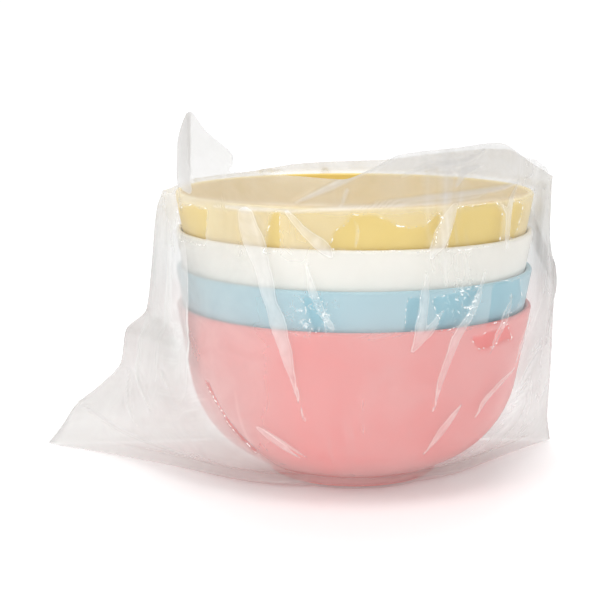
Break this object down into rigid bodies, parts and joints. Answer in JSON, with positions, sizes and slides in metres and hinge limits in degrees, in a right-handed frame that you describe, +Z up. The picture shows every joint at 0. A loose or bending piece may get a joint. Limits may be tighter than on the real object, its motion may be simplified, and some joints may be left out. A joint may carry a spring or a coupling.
{
  "type": "hair color bowl set in a bag",
  "caption": "Nested round plastic mixing bowls for hair color in pastel colors, with plain rims and foot rings, packed in a clear film bag with an open mouth.",
  "frame": {"origin": "on the surface that the set stands on, under the axis of the bowls", "axes": "+Z up along the axis of the bowls, -Y towards the pictured front, +X to the right of that view"},
  "size_m": [0.2298, 0.1532, 0.1535],
  "materials": {
    "clear_film": "clear, slightly hazy",
    "pink_plastic": "satin",
    "blue_plastic": "satin",
    "white_plastic": "satin",
    "yellow_plastic": "satin"
  },
  "bodies": {
    "bag": {"clear_bag": "clear_film"},
    "pink": {"pink_bowl": "pink_plastic"},
    "blue": {"blue_bowl": "blue_plastic"},
    "white": {"white_bowl": "white_plastic"},
    "yellow": {"yellow_bowl": "yellow_plastic"}
  },
  "joints": [
    {"name": "pink_lift", "type": "slide", "parent": "bag", "child": "pink", "axis": [0, 0, 1], "range_m": [0, 0.165]},
    {"name": "blue_lift", "type": "slide", "parent": "pink", "child": "blue", "axis": [0, 0, 1], "range_m": [0, 0.065]},
    {"name": "white_lift", "type": "slide", "parent": "blue", "child": "white", "axis": [0, 0, 1], "range_m": [0, 0.065]},
    {"name": "yellow_lift", "type": "slide", "parent": "white", "child": "yellow", "axis": [0, 0, 1], "range_m": [0, 0.065]}
  ]
}
